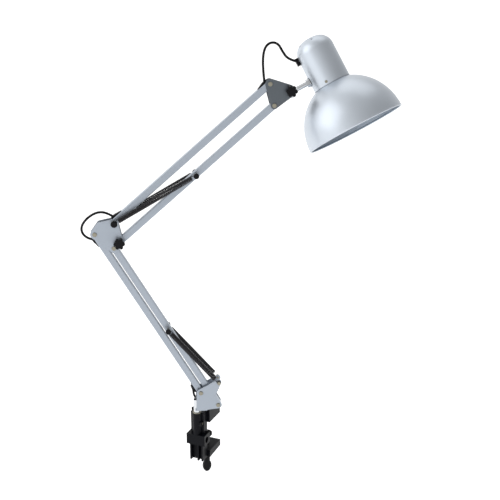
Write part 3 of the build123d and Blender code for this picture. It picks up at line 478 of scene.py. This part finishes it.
inner_group.links.new(inlet.outputs["Color"], either.inputs["A"])
inner_group.links.new(inlet.outputs["Inner Color"], either.inputs["B"])
inner_group.links.new(either.outputs["Result"], outlet.inputs["Color"])


def line_with(finish, inner_color, middle):
    """Another colour on the faces turned towards the middle of a hollow piece."""
    lining_tree = finish.node_tree
    base_color = lining_tree.nodes["Principled BSDF"].inputs["Base Color"]
    lining = lining_tree.nodes.new("ShaderNodeGroup")
    lining.node_tree = inner_group
    lining.inputs["Inner Color"].default_value = tint(inner_color)
    lining.inputs["Middle"].default_value = middle
    lining_tree.links.new(base_color.links[0].from_socket, lining.inputs["Color"])
    lining_tree.links.new(lining.outputs["Color"], base_color)


bell_paint = finish_of(
    "silver bell paint", (0.545, 0.59, 0.645), 0.37, metallic=0.8, scale=3500, spread=0.06, bump=0.04,
)
line_with(bell_paint, (0.36, 0.41, 0.47), head_centre - head_up * 0.1)
dress(bell_paint, "bell_reflector")
neck_paint_with_painted_shade = finish_of(
    "silver neck paint with painted shade inside", (0.545, 0.59, 0.645), 0.37, metallic=0.8, scale=3500, spread=0.06, bump=0.04,
)
# Painted shade: the inner faces of the neck get a near-black colour in place of the shadow inside it.
line_with(neck_paint_with_painted_shade, (0.012, 0.012, 0.013), head_centre + head_up * 0.012)
dress(neck_paint_with_painted_shade, "neck_shell")
brass = finish_of(
    "nickelled brass", (0.66, 0.55, 0.34), 0.25, metallic=1.0, scale=1500, spread=0.25, bump=0.05, wear=0.4,
)
dress(brass, "lamp_holder_shell", "lamp_holder_contact")

# ---- Tension springs ----------------------------------------------------------------------------
# Close wound from 1.2 mm wire, oiled dark, with a hook bent at each end round its pin.
# Two stretch beside the lower arm and two beside the upper arm.
spring_wire = finish_of(
    "oiled spring wire", (0.045, 0.044, 0.047), 0.22, metallic=1.0, scale=1500, spread=0.3, bump=0.05,
)
coil_tree = bpy.data.node_groups.new("coil of wire", "GeometryNodeTree")
coil_tree.is_modifier = True
for label, kind in (("Turns", "Float"), ("Radius", "Float"), ("Length", "Float"), ("Wire", "Float")):
    coil_tree.interface.new_socket(label, in_out="INPUT", socket_type="NodeSocket" + kind)
coil_tree.interface.new_socket("Finish", in_out="INPUT", socket_type="NodeSocketMaterial")
coil_tree.interface.new_socket("Coil", in_out="OUTPUT", socket_type="NodeSocketGeometry")
inlet = coil_tree.nodes.new("NodeGroupInput")
outlet = coil_tree.nodes.new("NodeGroupOutput")
winding = coil_tree.nodes.new("GeometryNodeCurveSpiral")
winding.inputs["Resolution"].default_value = 14
coil_tree.links.new(inlet.outputs["Turns"], winding.inputs["Rotations"])
coil_tree.links.new(inlet.outputs["Radius"], winding.inputs["Start Radius"])
coil_tree.links.new(inlet.outputs["Radius"], winding.inputs["End Radius"])
coil_tree.links.new(inlet.outputs["Length"], winding.inputs["Height"])
wire_section = coil_tree.nodes.new("GeometryNodeCurvePrimitiveCircle")
wire_section.inputs["Resolution"].default_value = 6
coil_tree.links.new(inlet.outputs["Wire"], wire_section.inputs["Radius"])
drawn = coil_tree.nodes.new("GeometryNodeCurveToMesh")
drawn.inputs["Fill Caps"].default_value = True
coil_tree.links.new(winding.outputs["Curve"], drawn.inputs["Curve"])
coil_tree.links.new(wire_section.outputs["Curve"], drawn.inputs["Profile Curve"])
real = coil_tree.nodes.new("GeometryNodeRealizeInstances")
coil_tree.links.new(drawn.outputs["Mesh"], real.inputs["Geometry"])
painted = coil_tree.nodes.new("GeometryNodeSetMaterial")
coil_tree.links.new(real.outputs["Geometry"], painted.inputs["Geometry"])
coil_tree.links.new(inlet.outputs["Finish"], painted.inputs["Material"])
coil_tree.links.new(painted.outputs["Geometry"], outlet.inputs["Coil"])


def socket_named(tree, label):
    return next(item.identifier for item in tree.interface.items_tree if item.name == label and item.in_out == "INPUT")


COIL_R = 0.0041
COIL_PITCH = 0.00128
WIRE_R = 0.00058


def tension_spring(name, low, high, hook_low, hook_high):
    ahead = (high - low).normalized()
    across = (arm(0, 0, 1) - arm(0, 0, 0)).normalized()
    sideways = across.cross(ahead)
    length = (high - low).length
    body_length = length - hook_low - hook_high
    turns = round(body_length / COIL_PITCH)
    host = bpy.data.objects.new(name, bpy.data.meshes.new(name))
    bpy.context.scene.collection.objects.link(host)
    coil = host.modifiers.new("coil", "NODES")
    coil.node_group = coil_tree
    for label, value in (
        ("Turns", float(turns)), ("Radius", COIL_R), ("Length", body_length),
        ("Wire", WIRE_R), ("Finish", spring_wire),
    ):
        coil[socket_named(coil_tree, label)] = value
    bpy.context.view_layer.update()
    mesh = bpy.data.meshes.new_from_object(host.evaluated_get(bpy.context.evaluated_depsgraph_get()))
    bpy.data.objects.remove(host)
    for vertex in mesh.vertices:
        x, y, z = vertex.co
        vertex.co = low + ahead * (hook_low + z) + sideways * x + across * y
    mesh.shade_smooth()
    piece = bpy.data.objects.new(name, mesh)
    bpy.context.scene.collection.objects.link(piece)
    parts = [piece]
    for start, way, hook in ((low, 1, hook_low), (high, -1, hook_high)):
        eye = 0.0033
        points = [start + ahead * way * hook + sideways * 0.0041]
        points.append(start + ahead * way * (hook - 0.0008) + sideways * 0.0036 - across * 0.0010)
        points.append(start + ahead * way * (hook - 0.0020) + sideways * 0.0018 - across * 0.0006)
        for step in range(0, 15):
            turn = radians(38 + step * 22)
            points.append(start + ahead * way * eye * cos(turn) + sideways * eye * sin(turn))
        eye_wire = tube_along(name + "_hook", line_points(points), WIRE_R, spring_wire, around=8)
        parts.append(eye_wire)
    with bpy.context.temp_override(active_object=piece, selected_editable_objects=parts):
        bpy.ops.object.join()
    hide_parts(name)
    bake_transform(piece)


for side, w in (("near", 14), ("far", -14)):
    tension_spring(
        f"lower_spring_{side}", arm(41, 89.5, w), arm(-49.75, 197.59, w), 0.0115, 0.0082,
    )
    tension_spring(
        f"upper_spring_{side}", arm(-138, 401.27, w), arm(5.76, 482.15, w), 0.0085, 0.0085,
    )
